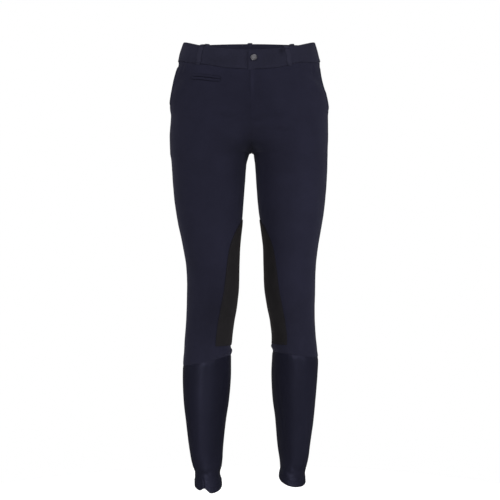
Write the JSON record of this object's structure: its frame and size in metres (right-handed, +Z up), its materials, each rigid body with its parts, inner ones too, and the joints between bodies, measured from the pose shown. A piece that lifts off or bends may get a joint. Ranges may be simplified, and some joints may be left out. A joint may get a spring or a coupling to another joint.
{
  "type": "riding breeches",
  "caption": "Fitted riding breeches worn open and hollow: contoured buttoned waistband with belt loops, fly, welt pocket, suede knee patches and tight stretch calves.",
  "frame": {"origin": "middle of the waist opening, level with the top of the band at the sides, where the wearer's waist holds the garment", "axes": "+Z up, the front faces -Y, the wearer's left is +X"},
  "size_m": [0.3413, 0.241, 0.9683],
  "materials": {
    "navy_twill": "matte stretch cotton, very dark navy",
    "navy_satin": "smooth stretch knit with a soft satin sheen",
    "dark_suede": "brown-black brushed suede-like cloth",
    "button_metal": "grey burnished metal",
    "zip_tape": "navy woven zip tape"
  },
  "bodies": {
    "root": {"waistband": "navy_twill", "front_right": "navy_twill", "front_left": "navy_twill", "back_right": "navy_twill", "back_left": "navy_twill", "calf_right": "navy_satin", "calf_left": "navy_satin", "knee_patch_right": "dark_suede", "knee_patch_left": "dark_suede", "belt_loop_front_right": "navy_twill", "belt_loop_front_left": "navy_twill", "belt_loop_back_right": "navy_twill", "belt_loop_back_left": "navy_twill", "belt_loop_back_center": "navy_twill", "fly_zip": "zip_tape", "fly_underlap": "navy_twill", "pocket_welt_upper": "navy_twill", "pocket_welt_lower": "navy_twill", "waist_button": "button_metal"}
  },
  "joints": []
}
